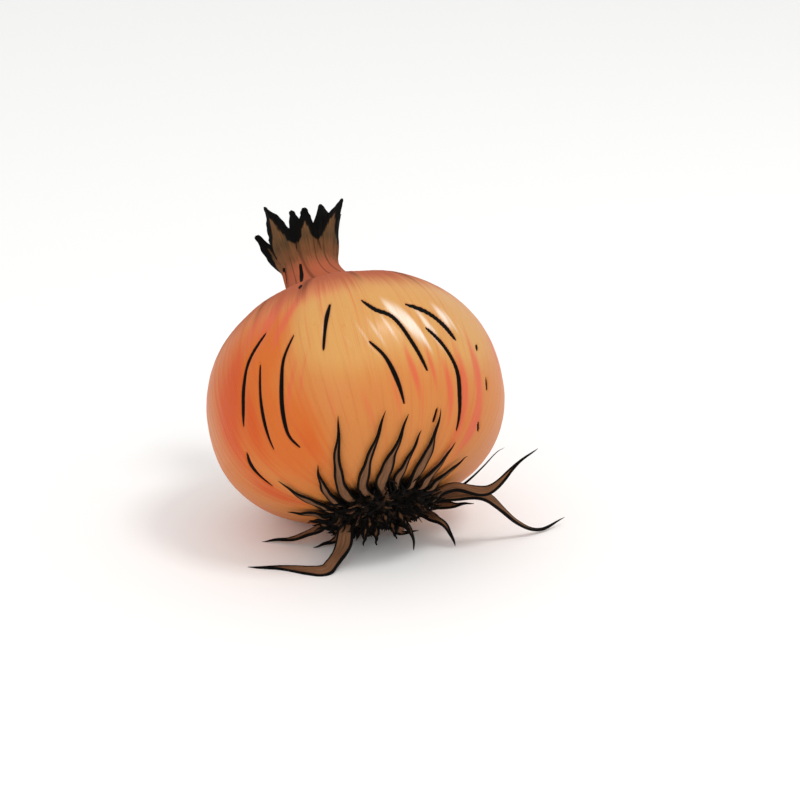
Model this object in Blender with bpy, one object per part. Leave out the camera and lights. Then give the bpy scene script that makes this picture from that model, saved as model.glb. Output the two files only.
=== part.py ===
"""A dry brown onion lying on a table, tilted back so that its root end faces forward and down.

Metres, +Z up, the table at z = 0. The origin is the middle of the small flat spot that the bulb
rests on. The bulb and the dry leaf ends on its neck are modelled upright in the bulb's own frame
(+Z from the root end to the neck, z = 0 at the widest section) and leaned as one by an empty.
"""

import math
from collections import namedtuple

import bmesh
import bpy
from mathutils import Matrix, Vector

MM = 0.001

# Bulb: a superellipse below its widest section and a rounder one above it.
BULB_RADIUS = 38.0 * MM
BASE_DEPTH = 29.0 * MM  # widest section to the root end
TOP_HEIGHT = 31.0 * MM  # widest section to where the upper part would close
BASE_FULLNESS = 2.4  # superellipse power: 2 is an ellipse, more is squarer
TOP_FULLNESS = 2.14
LOBES = ((2, 0.003, -20.0), (3, 0.008, -30.0), (5, 0.003, 20.0))  # waves round, share of radius, phase
FLAT_DEPTH = 1.0 * MM  # how far the resting flank is pressed flat

# How the bulb lies.
TILT = math.radians(42.3)  # its axis from the vertical
HEADING = math.radians(19.7)  # the neck points back, and this far to the left

# Neck, which grows out of the bulb's shoulder a little off the bulb's axis.
SHOULDER_RADIUS = 14.0 * MM  # where the shoulder starts to sweep up into the neck
NECK_RADIUS = 7.2 * MM
NECK_WAIST_HEIGHT = 39.5 * MM  # widest section to the neck's narrowest section
RIM_HEIGHT = 44.5 * MM  # widest section to the rim where the leaf ends part
RIM_FLARE = 1.0 * MM  # how much wider the neck is at the rim
RIM_WALL = 1.2 * MM
DISH_DEPTH = 3.2 * MM  # hollow inside the rim
NECK_OFFSET = 3.1 * MM
NECK_OFFSET_LONGITUDE = math.radians(160.0)
RIM_RADIUS = NECK_RADIUS + RIM_FLARE

# Root plate under the bulb.
PLATE_RADIUS = 13.0 * MM
PLATE_EDGE = 2.6 * MM
PLATE_BEVEL = 0.3 * MM
PLATE_DOME = 1.8 * MM
OUTER_RING = 0.74  # share of the plate's radius where the long roots stand on its face
INNER_RING = 0.38  # the same for the tuft in the middle

LEAF_THICKNESS = 0.8 * MM
LEAF_TIP = 1.7 * MM  # width of a leaf end's blunt tip
LEAF_BEND = 1.4  # how late a leaf end leans out: 1 leans evenly from its foot
ROOT_TIP = 0.3 * MM  # radius of a root's point
ROOT_TAPER = 0.75  # share of its radius that a root loses on the way to its tip
ROOT_LEAD = 1.8 * MM  # how far a root grows straight out before it bends
CLEARANCE = 0.3 * MM  # between pieces that touch

COLUMNS = 48  # facets round the bulb
PLATE_COLUMNS = 32
BASE_ROWS = 13
TOP_ROWS = 10
SWEEP_ROWS = 6

# A leaf end: the middle of its foot round the neck, the angle its foot takes up, how far below the
# rim it parts from the neck, its length along the axis, how far its point leans outwards, how far
# round the neck its point leans, and how long it stays wide (1 tapers straight to the point).
Leaf = namedtuple("Leaf", "name longitude spread drop length flare turn fullness")
LEAVES = (
    Leaf("neck_leaf_front", -103.0, 36.0, 0.0, 6.9 * MM, 1.0 * MM, 5.0, 1.4),
    Leaf("neck_leaf_front_left", -160.0, 72.0, 0.0, 11.4 * MM, 1.9 * MM, 0.0, 1.2),
    Leaf("neck_leaf_low_left", 165.0, 40.0, 5.0 * MM, 11.4 * MM, 4.1 * MM, 0.0, 1.2),
    Leaf("neck_leaf_back_left", 130.0, 62.0, 0.0, 8.4 * MM, 1.4 * MM, 0.0, 3.0),
    Leaf("neck_leaf_back", 86.0, 26.0, 0.0, 16.2 * MM, 1.0 * MM, -5.5, 5.0),
    Leaf("neck_leaf_back_middle", 61.0, 24.0, 0.0, 15.7 * MM, 0.8 * MM, 0.0, 5.0),
    Leaf("neck_leaf_back_right", 30.0, 38.0, 0.0, 15.2 * MM, 1.4 * MM, 5.0, 5.0),
    Leaf("neck_leaf_right", -9.0, 32.0, 0.0, 8.0 * MM, 2.4 * MM, 0.0, 1.6),
    Leaf("neck_leaf_front_right", -54.0, 56.0, 0.0, 9.4 * MM, 4.4 * MM, 13.0, 1.1),
)

# A root that clings to the bulb: where it stands on the plate's rim, the longitude of its tip, how
# far from the bulb's axis its tip is, how far its tip stands off, and its radius at the foot.
Clinging = namedtuple("Clinging", "longitude tip_longitude tip_radius lift thickness")
CLINGING_ROOTS = (
    Clinging(174.0, 167.0, 23.0 * MM, 0.0 * MM, 1.00 * MM),
    Clinging(-166.0, -160.0, 28.6 * MM, 0.5 * MM, 1.00 * MM),
    Clinging(-150.0, -135.0, 27.5 * MM, 0.5 * MM, 1.00 * MM),
    Clinging(-136.0, -116.0, 34.3 * MM, 0.3 * MM, 1.15 * MM),
    Clinging(-119.0, -97.5, 33.6 * MM, 0.3 * MM, 1.05 * MM),
    Clinging(-103.0, -88.0, 32.6 * MM, 0.0 * MM, 1.20 * MM),
    Clinging(-89.0, -81.0, 29.6 * MM, 0.3 * MM, 0.90 * MM),
    Clinging(-74.0, -73.0, 33.2 * MM, 0.3 * MM, 1.15 * MM),
    Clinging(-58.0, -58.0, 27.4 * MM, 0.5 * MM, 1.00 * MM),
    Clinging(-43.0, -40.0, 25.2 * MM, 0.8 * MM, 1.00 * MM),
    Clinging(46.0, 2.0, 34.0 * MM, 2.6 * MM, 0.80 * MM),
)

# A root that leaves the bulb: where it stands (on the plate's rim or its face), its radius at the
# foot, and points it passes in millimetres, right and back from where it stands and up from the table.
Trailing = namedtuple("Trailing", "name place longitude thickness points")
TRAILING_ROOTS = (
    Trailing(
        "root_right_high",
        "rim",
        -22.0,
        1.30 * MM,
        ((6, 1.5, 17), (14, 1.5, 16), (20, 3.5, 21), (26.5, 5.5, 26)),
    ),
    Trailing(
        "root_right_low",
        "rim",
        -5.0,
        1.30 * MM,
        ((6, 0.5, 14), (14, 1.5, 13), (22, 5, 4.5), (28, 9, 1), (35, 14, 2)),
    ),
    Trailing("root_right_short", "rim", 12.0, 1.00 * MM, ((5, 0.5, 10), (12, -2.5, 12))),
    Trailing(
        "root_right_front", "rim", 31.0, 1.25 * MM, ((6, -4.3, 6.6), (8.7, -5.3, 3.7), (9.6, -5.8, 0.4))
    ),
    Trailing(
        "root_front_right", "face", 52.0, 1.20 * MM, ((1, -5, 7.6), (3.2, -6.3, 6.2), (4.2, -6.2, 0.8))
    ),
    Trailing("root_under_right", "rim", 68.0, 0.90 * MM, ((4, 1.5, 0), (8, 3.5, 0))),
    Trailing("root_under_left", "rim", 98.0, 0.90 * MM, ((1.5, 2.5, 0), (-2.5, 4.5, 0))),
    Trailing("root_left_short", "rim", 128.0, 0.90 * MM, ((-1, -0.5, 2), (-7, -1.5, 0))),
    Trailing("root_left_low", "rim", 152.0, 1.15 * MM, ((-2, 2.5, 6), (-9, 4.5, 2), (-18, 6.5, 0))),
    Trailing(
        "root_front_long",
        "face",
        165.0,
        1.70 * MM,
        ((-0.7, -3.5, 4.3), (-3.3, -8, 1.5), (-5.6, -10.2, 0), (-8.6, -9.6, 0), (-13.5, -8, 0), (-24.3, -6, 0)),
    ),
)

TUFT_ROOTS = 7
TUFT_LENGTH = 4.4 * MM
TUFT_THICKNESS = 1.0 * MM

ROOT_STEPS = 3  # lengths of tube between two points of a root's route, after the straight first one


def clear_scene():
    for item in list(bpy.data.objects):
        bpy.data.objects.remove(item, do_unlink=True)


def make_material(name, colour, roughness):
    material = bpy.data.materials.new(name)
    material.use_nodes = True
    shader = material.node_tree.nodes["Principled BSDF"]
    shader.inputs["Base Color"].default_value = (*colour, 1.0)
    shader.inputs["Roughness"].default_value = roughness
    shader.inputs["Metallic"].default_value = 0.0
    return material


def add_object(name, data, parent=None):
    item = bpy.data.objects.new(name, data)
    bpy.context.scene.collection.objects.link(item)
    item.parent = parent
    return item


# --- the bulb's surface, in the bulb's own frame ---


def superellipse(radius, rise, fullness):
    """How far the bulb reaches above or below its widest section, at this distance from its axis."""
    share = min(radius / BULB_RADIUS, 1.0)
    return rise * (1.0 - share**fullness) ** (1.0 / fullness)


def base_height(radius):
    return -superellipse(radius, BASE_DEPTH, BASE_FULLNESS)


def shoulder_height():
    return superellipse(SHOULDER_RADIUS, TOP_HEIGHT, TOP_FULLNESS)


def lobed(radius, longitude):
    """The radius with the bulb's gentle lobes, which fade towards its axis."""
    swell = sum(share * math.cos(waves * longitude + math.radians(phase)) for waves, share, phase in LOBES)
    return radius * (1.0 + swell * min(radius / BULB_RADIUS, 1.0))


def neck_shift(height):
    """Sideways offset of the neck: none up to the shoulder, all of it from the waist up."""
    start = shoulder_height()
    share = min(max((height - start) / (NECK_WAIST_HEIGHT - start), 0.0), 1.0)
    offset = NECK_OFFSET * share * (2.0 - share)
    return offset * math.cos(NECK_OFFSET_LONGITUDE), offset * math.sin(NECK_OFFSET_LONGITUDE)


def neck_radius(height):
    """Radius of the neck above its waist, where it widens to the rim."""
    return NECK_RADIUS + RIM_FLARE * (height - NECK_WAIST_HEIGHT) / (RIM_HEIGHT - NECK_WAIST_HEIGHT)


def round_point(radius, height, longitude):
    """A point at this distance from the middle of the bulb, or of the neck above the shoulder."""
    aside, behind = neck_shift(height)
    return Vector((radius * math.cos(longitude) + aside, radius * math.sin(longitude) + behind, height))


def bulb_point(radius, height, longitude):
    return round_point(lobed(radius, longitude), height, longitude)


def base_point(radius, longitude, lift=0.0):
    """A point on the bulb's lower surface, lifted along the surface's normal."""
    step = 0.05 * MM
    slope = (base_height(radius + step) - base_height(radius - step)) / (2.0 * step)
    outwards = Vector((slope, -1.0)).normalized()
    point = bulb_point(radius, base_height(radius), longitude)
    along = Vector((math.cos(longitude), math.sin(longitude), 0.0))
    return point + lift * (outwards.x * along + outwards.y * Vector((0.0, 0.0, 1.0)))


def quarter_outline(rise, fullness, angles):
    """(radius, height) points of a superellipse, from its widest point at angle 0."""
    power = 2.0 / fullness
    return [(BULB_RADIUS * math.cos(a) ** power, rise * math.sin(a) ** power) for a in angles]


def base_outline():
    """From the seat of the root plate up to just under the widest section."""
    start = math.acos((PLATE_RADIUS / BULB_RADIUS) ** (BASE_FULLNESS / 2.0))
    angles = [start * (1.0 - row / BASE_ROWS) for row in range(BASE_ROWS)]
    return [(radius, -depth) for radius, depth in quarter_outline(BASE_DEPTH, BASE_FULLNESS, angles)]


def top_outline():
    """From the widest section up to the shoulder."""
    end = math.acos((SHOULDER_RADIUS / BULB_RADIUS) ** (TOP_FULLNESS / 2.0))
    angles = [end * row / TOP_ROWS for row in range(TOP_ROWS + 1)]
    return quarter_outline(TOP_HEIGHT, TOP_FULLNESS, angles)


def sweep_outline():
    """(radius, height) of the concave sweep from the shoulder to the neck's waist, a Bezier curve."""
    height = shoulder_height()
    step = 0.05 * MM
    slope = (height - superellipse(SHOULDER_RADIUS + step, TOP_HEIGHT, TOP_FULLNESS)) / step
    run = 0.6 * (SHOULDER_RADIUS - NECK_RADIUS)
    ends = (
        Vector((SHOULDER_RADIUS, height)),
        Vector((SHOULDER_RADIUS - run, height + run * slope)),
        Vector((NECK_RADIUS, height + 0.5 * (NECK_WAIST_HEIGHT - height))),
        Vector((NECK_RADIUS, NECK_WAIST_HEIGHT)),
    )
    return [tuple(bezier(ends, row / SWEEP_ROWS)) for row in range(1, SWEEP_ROWS + 1)]


def bezier(ends, t):
    s = 1.0 - t
    return s**3 * ends[0] + 3 * s * s * t * ends[1] + 3 * s * t * t * ends[2] + t**3 * ends[3]


def bulb_outline():
    """The whole turned outline, from the middle of the plate's seat to the middle of the neck's dish."""
    inside = RIM_RADIUS - RIM_WALL
    return [
        (0.0, base_height(PLATE_RADIUS)),
        *base_outline(),
        *top_outline(),
        *sweep_outline(),
        (RIM_RADIUS, RIM_HEIGHT),
        (inside, RIM_HEIGHT),
        (0.6 * inside, RIM_HEIGHT - 0.8 * DISH_DEPTH),
        (0.0, RIM_HEIGHT - DISH_DEPTH),
    ]


def turned_mesh(name, outline, columns, shape=None):
    """A closed mesh turned about +Z from (radius, height) points, then moved point by point by shape."""
    mesh = bmesh.new()
    ring = [mesh.verts.new((radius, 0.0, height)) for radius, height in outline]
    edges = [mesh.edges.new(pair) for pair in zip(ring, ring[1:])]
    mesh.verts.index_update()
    bmesh.ops.spin(
        mesh,
        geom=ring + edges,
        cent=(0.0, 0.0, 0.0),
        axis=(0.0, 0.0, 1.0),
        angle=2.0 * math.pi,
        steps=columns,
        use_merge=True,
    )
    bmesh.ops.remove_doubles(mesh, verts=mesh.verts, dist=0.01 * MM)
    if shape:
        for vert in mesh.verts:
            vert.co = shape(math.hypot(vert.co.x, vert.co.y), vert.co.z, math.atan2(vert.co.y, vert.co.x))
    bmesh.ops.recalc_face_normals(mesh, faces=mesh.faces)
    data = bpy.data.meshes.new(name)
    mesh.to_mesh(data)
    mesh.free()
    data.shade_smooth()
    data.set_sharp_from_angle(angle=math.radians(40.0))
    return data


# --- how the bulb lies on the table ---


def lying_matrix():
    """The bulb's frame in the world: leaned back and turned, pressed onto the table at the origin."""
    turn = Matrix.Rotation(HEADING, 4, "Z") @ Matrix.Rotation(-TILT, 4, "X")
    steps = 120
    radii = [BULB_RADIUS * (0.4 + 0.6 * step / steps) for step in range(steps)]
    around = [math.pi * step / steps for step in range(steps)]
    points = [turn @ bulb_point(radius, base_height(radius), side) for radius in radii for side in around]
    lowest = min(points, key=lambda point: point.z)
    return Matrix.Translation(Vector((0.0, 0.0, -FLAT_DEPTH)) - lowest) @ turn


def make_bulb(frame, material):
    bulb = add_object("bulb", turned_mesh("bulb", bulb_outline(), COLUMNS, bulb_point), frame)
    bulb.data.materials.append(material)
    cutter = add_table_cutter()
    flat = bulb.modifiers.new("flat_spot", "BOOLEAN")
    flat.operation = "DIFFERENCE"
    flat.object = cutter
    return bulb


def add_table_cutter():
    """A slab whose top is the table. It presses the flat spot into the bulb."""
    half = 2.0 * BULB_RADIUS
    mesh = bmesh.new()
    bmesh.ops.create_cube(mesh, size=2.0 * half)
    data = bpy.data.meshes.new("table_cutter")
    mesh.to_mesh(data)
    mesh.free()
    cutter = add_object("table_cutter", data)
    cutter.location.z = -half
    cutter.hide_render = True
    cutter.display_type = "WIRE"
    return cutter


# --- the dry leaf ends on the neck ---


def make_leaf(leaf, frame, material):
    """A pointed blade that stands on the neck's rim, or against its side, and leans outwards."""
    rows, across = 7, 4
    foot_height = RIM_HEIGHT + CLEARANCE
    foot_radius = RIM_RADIUS
    if leaf.drop > 0.0:
        foot_height = RIM_HEIGHT - leaf.drop
        foot_radius = neck_radius(foot_height) + CLEARANCE + LEAF_THICKNESS
    half_angle = 0.5 * math.radians(leaf.spread) - CLEARANCE / foot_radius
    mesh = bmesh.new()
    grid = []
    for row in range(rows + 1):
        rise = row / rows
        height = foot_height + leaf.length * rise
        radius = foot_radius + leaf.flare * rise**LEAF_BEND
        if height < RIM_HEIGHT:
            radius = max(radius, neck_radius(height) + CLEARANCE + LEAF_THICKNESS)
        middle = math.radians(leaf.longitude + leaf.turn * rise)
        half = max(half_angle * (1.0 - rise**leaf.fullness), 0.5 * LEAF_TIP / radius)
        line = []
        for column in range(across + 1):
            longitude = middle + half * (2.0 * column / across - 1.0)
            line.append(mesh.verts.new(round_point(radius, height, longitude)))
        grid.append(line)
    for lower, upper in zip(grid, grid[1:]):
        for column in range(across):
            mesh.faces.new((lower[column], lower[column + 1], upper[column + 1], upper[column]))
    data = bpy.data.meshes.new(leaf.name)
    mesh.to_mesh(data)
    mesh.free()
    data.shade_smooth()
    blade = add_object(leaf.name, data, frame)
    blade.data.materials.append(material)
    wall = blade.modifiers.new("wall", "SOLIDIFY")
    wall.thickness = LEAF_THICKNESS
    wall.offset = -1.0
    return blade


# --- the root plate and the roots ---


def plate_top():
    """Height of the plate's back, which faces the seat on the bulb."""
    return base_height(PLATE_RADIUS) - CLEARANCE


def plate_height(radius):
    """Height of the plate's domed face at this distance from the axis."""
    share = min(radius / PLATE_RADIUS, 1.0)
    return plate_top() - PLATE_EDGE - PLATE_DOME * (1.0 - share * share)


def plate_outline():
    shares = (0.88, 0.65, 0.4, 0.2)
    return [
        (0.0, plate_top()),
        (PLATE_RADIUS - PLATE_BEVEL, plate_top()),
        (PLATE_RADIUS, plate_top() - PLATE_BEVEL),
        (PLATE_RADIUS, plate_top() - PLATE_EDGE),
        *[(PLATE_RADIUS * share, plate_height(PLATE_RADIUS * share)) for share in shares],
        (0.0, plate_height(0.0)),
    ]


def make_root_plate(frame, material):
    plate = add_object("root_plate", turned_mesh("root_plate", plate_outline(), PLATE_COLUMNS), frame)
    plate.data.materials.append(material)
    return plate


def face_foot(ring, longitude, lead=ROOT_LEAD):
    """Where a root stands on the plate's face, and the point it first grows to, straight out."""
    radius = ring * PLATE_RADIUS
    around = Vector((math.cos(longitude), math.sin(longitude), 0.0))
    straight_out = Vector((0.0, 0.0, -1.0)) + 2.0 * PLATE_DOME * radius / PLATE_RADIUS**2 * around
    straight_out.normalize()
    surface = radius * around + Vector((0.0, 0.0, plate_height(radius)))
    return surface + CLEARANCE * straight_out, surface + lead * straight_out


def rim_foot(longitude, thickness):
    """Where a root stands on the plate's rim, clear of the bulb, and the point it first grows to."""
    around = Vector((math.cos(longitude), math.sin(longitude), 0.0))
    height = plate_top() - max(thickness, 0.5 * PLATE_EDGE)
    surface = PLATE_RADIUS * around + Vector((0.0, 0.0, height))
    return surface + CLEARANCE * around, surface + ROOT_LEAD * around


def root_radius(thickness, share):
    """Radius along a root: it thins slowly, then runs to a point."""
    return max(ROOT_TIP, thickness * (1.0 - ROOT_TAPER * share**1.3))


def smooth_route(points):
    """(share of the route, point) along a Catmull-Rom curve through the points, straight at first."""
    knots = [2.0 * points[0] - points[1], *points, 2.0 * points[-1] - points[-2]]
    spans = len(points) - 1
    route = []
    for span in range(spans):
        a, b, c, d = knots[span : span + 4]
        steps = ROOT_STEPS if span else 1
        for step in range(steps):
            t = step / steps
            bend = 2.0 * b + (c - a) * t + (2.0 * a - 5.0 * b + 4.0 * c - d) * t**2
            route.append(((span + t) / spans, 0.5 * (bend + (3.0 * b - a - 3.0 * c + d) * t**3)))
    return [*route, (1.0, points[-1])]


def make_root(name, world_points, thickness, material):
    """A tapering tube along a smooth route. Where the route would sink into the table it lies on it."""
    foot = world_points[0]
    route = smooth_route(world_points)
    data = bpy.data.curves.new(name, "CURVE")
    data.dimensions = "3D"
    data.bevel_depth = 1.0
    data.bevel_resolution = 2
    data.use_fill_caps = True
    spline = data.splines.new("POLY")
    spline.points.add(len(route) - 1)
    for knot, (share, point) in zip(spline.points, route):
        radius = root_radius(thickness, share)
        lying = Vector((point.x, point.y, max(point.z, radius)))
        knot.co = (*(lying - foot), 1.0)
        knot.radius = radius
    root = add_object(name, data)
    root.location = foot
    data.materials.append(material)
    return root


def clinging_points(root):
    """Straight out of the plate's rim, then along the bulb's lower surface to the tip."""
    points = list(rim_foot(math.radians(root.longitude), root.thickness))
    start = PLATE_RADIUS + 2.0 * ROOT_LEAD
    spans = 5
    for span in range(spans + 1):
        share = span / spans
        reached = math.sin(0.5 * math.pi * share)
        radius = start + (root.tip_radius - start) * reached
        longitude = math.radians(root.longitude + (root.tip_longitude - root.longitude) * reached)
        resting = root_radius(root.thickness, (span + 2) / (spans + 2)) + CLEARANCE
        points.append(base_point(radius, longitude, resting + root.lift * share**3))
    return points


def make_roots(lying, material):
    for number, root in enumerate(CLINGING_ROOTS, start=1):
        points = [lying @ point for point in clinging_points(root)]
        make_root(f"root_clinging_{number:02d}", points, root.thickness, material)
    for root in TRAILING_ROOTS:
        longitude = math.radians(root.longitude)
        if root.place == "rim":
            foot, lead = rim_foot(longitude, root.thickness)
        else:
            foot, lead = face_foot(OUTER_RING, longitude)
        foot, lead = lying @ foot, lying @ lead
        below = Vector((foot.x, foot.y, 0.0))
        onwards = [below + MM * Vector(point) for point in root.points]
        make_root(root.name, [foot, lead, *onwards], root.thickness, material)
    for number in range(TUFT_ROOTS):
        make_tuft_root(number, lying, material)


def make_tuft_root(number, lying, material):
    """A short root from the middle of the plate, which grows out and droops towards the table."""
    longitude = 2.0 * math.pi * number / TUFT_ROOTS
    foot, lead = face_foot(INNER_RING, longitude, 0.4 * TUFT_LENGTH)
    outwards = Vector((math.cos(longitude), math.sin(longitude), 0.0))
    length = TUFT_LENGTH * (1.0 + 0.25 * math.cos(2.3 * number))
    tip = lead + 0.6 * length * Vector((0.0, 0.0, -1.0)) + 0.25 * length * outwards
    points = [lying @ foot, lying @ lead, lying @ tip + Vector((0.0, 0.0, -0.15 * length))]
    make_root(f"root_tuft_{number + 1:02d}", points, TUFT_THICKNESS, material)


def main():
    clear_scene()
    skin = make_material("dry_skin", (0.74, 0.33, 0.10), 0.42)
    leaf = make_material("dry_leaf", (0.16, 0.08, 0.04), 0.75)
    plate = make_material("root_plate", (0.07, 0.04, 0.025), 0.9)
    root = make_material("dry_root", (0.15, 0.08, 0.045), 0.8)
    lying = lying_matrix()
    frame = add_object("bulb_frame", None)
    frame.matrix_world = lying
    make_bulb(frame, skin)
    for blade in LEAVES:
        make_leaf(blade, frame, leaf)
    make_root_plate(frame, plate)
    make_roots(lying, root)


main()
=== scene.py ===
"""A dry brown onion with a torn neck and a beard of dead roots, lying on a pale studio floor.

Shapes are worked out in millimetres in the bulb's own frame: +Z runs from the root end to the neck
and z = 0 is the widest section. lay_down() leans them back onto the floor at z = 0, in metres.
Longitudes are degrees round the bulb in that frame: -110 faces the viewer, -20 is the right side.
"""

from collections import namedtuple

import bpy
import numpy as np
from mathutils import Matrix


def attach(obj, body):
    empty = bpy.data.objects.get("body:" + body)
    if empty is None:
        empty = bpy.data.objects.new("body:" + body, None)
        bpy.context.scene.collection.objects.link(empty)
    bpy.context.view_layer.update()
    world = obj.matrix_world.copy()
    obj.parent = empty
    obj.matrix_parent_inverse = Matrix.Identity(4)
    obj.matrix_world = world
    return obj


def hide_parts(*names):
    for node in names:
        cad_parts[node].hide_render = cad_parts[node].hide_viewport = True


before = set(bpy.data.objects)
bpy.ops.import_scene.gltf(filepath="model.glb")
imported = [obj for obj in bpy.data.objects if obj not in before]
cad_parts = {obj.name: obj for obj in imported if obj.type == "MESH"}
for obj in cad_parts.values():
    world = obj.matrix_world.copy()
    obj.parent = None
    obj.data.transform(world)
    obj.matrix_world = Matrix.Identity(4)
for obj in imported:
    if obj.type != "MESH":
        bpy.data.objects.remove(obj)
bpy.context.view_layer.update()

MM = 0.001
TURN = 2.0 * np.pi

# The bulb, as in the CAD: a superellipse below its widest section and a rounder one above it.
BULB_RADIUS = 38.0
BASE_DEPTH = 29.0
TOP_HEIGHT = 31.0
BASE_FULLNESS = 2.4
TOP_FULLNESS = 2.14
LOBES = ((2, 0.003, -20.0), (3, 0.008, -30.0), (5, 0.003, 20.0))  # waves round, share of radius, phase
FLAT_DEPTH = 1.0
TILT = np.radians(42.3)
HEADING = np.radians(19.7)

SHOULDER_RADIUS = 14.0
NECK_RADIUS = 7.2
WAIST_HEIGHT = 39.5
RIM_HEIGHT = 44.5
RIM_FLARE = 1.0
RIM_RADIUS = NECK_RADIUS + RIM_FLARE
RIM_WALL = 1.2
DISH_DEPTH = 3.2
NECK_OFFSET = 3.1
NECK_OFFSET_LONGITUDE = 160.0

PLATE_RADIUS = 13.0
PLATE_EDGE = 2.6
PLATE_DOME = 1.8
OUTER_RING = 0.74
INNER_RING = 0.38
CLEARANCE = 0.3

# Skin: points round it, and rows along each stretch of its outline.
SKIN_COLUMNS = 564
SEAT_ROWS = 4
BASE_ROWS = 65
TOP_ROWS = 56
SWEEP_ROWS = 26
FLARE_ROWS = 8
LIP_ROWS = 6
DISH_ROWS = 6

NECK_PLEATS = 15
ROOT_PLEATS = 46
VEINS = 88
PLEAT_DEPTH = 0.55
PUCKER_DEPTH = 0.35
VEIN_HEIGHT = 0.05
CREASE_DEPTH = 0.5
CREASE_EDGE = 0.35
CREASE_STEPS = 60
UNEVENNESS = 0.22
PUCKER_REACH = 11.0  # how far from the root plate the skin puckers
STAIN_REACH = 9.0  # and how far it is stained
PLEAT_WAVER = 1.3
FINE_PLEATS = 0.35
PLEAT_MEAN = 0.95
PUCKER_MEAN = 0.7
VEIN_WAVER = 1.5

# A crack or fold in the skin, a groove whose floor is painted near black as shade: its widest place in
# millimetres, and the (longitude, height) points that it runs through.
Crease = namedtuple("Crease", "width points")
CREASES = (
    Crease(1.5, ((-137, 11), (-146, 5.5), (-151, 0), (-154.5, -5), (-158, -9))),
    Crease(1.1, ((-141, 3), (-144, -4), (-147, -11), (-150, -17))),
    Crease(1.3, ((-125, 7), (-131, 1.5), (-134.5, -5), (-138, -12), (-139.5, -16), (-138, -19))),
    Crease(1.2, ((-109, 13), (-112, 8), (-115.5, 0))),
    Crease(1.5, ((-97, 12), (-93, 8.5), (-87, 5.5), (-82, -2), (-78, -9))),
    Crease(1.9, ((-80, 9.5), (-72, 7), (-66, 3.5), (-61.5, -0.5))),
    Crease(1.6, ((-75, 2.5), (-69, -2), (-64, -8), (-62, -14.5), (-58.5, -21))),
    Crease(1.3, ((-98.5, 0), (-94, -4.5), (-91, -10.5), (-89, -16))),
    Crease(1.6, ((-164, -14), (-168, -17), (-170, -22))),
    Crease(1.3, ((-47.5, 0), (-49.5, -2))),
    Crease(1.2, ((-45, -8.5), (-44, -11.5))),
    Crease(1.0, ((-45, -18.5), (-41, -20))),
    Crease(0.8, ((-73.5, -17), (-74.5, -20))),
    Crease(1.4, ((-128.5, 37.6), (-132, 35.2), (-135.5, 33.3), (-139.5, 30.9))),
    Crease(2.0, ((160, 41.5), (166, 37.5), (174, 34.2))),
    Crease(1.2, ((-123.5, 24.5), (-122.5, 22))),
)
BACK_CREASES = 17
BACK_START = -24.0
BACK_SWEEP = 184.0

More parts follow.
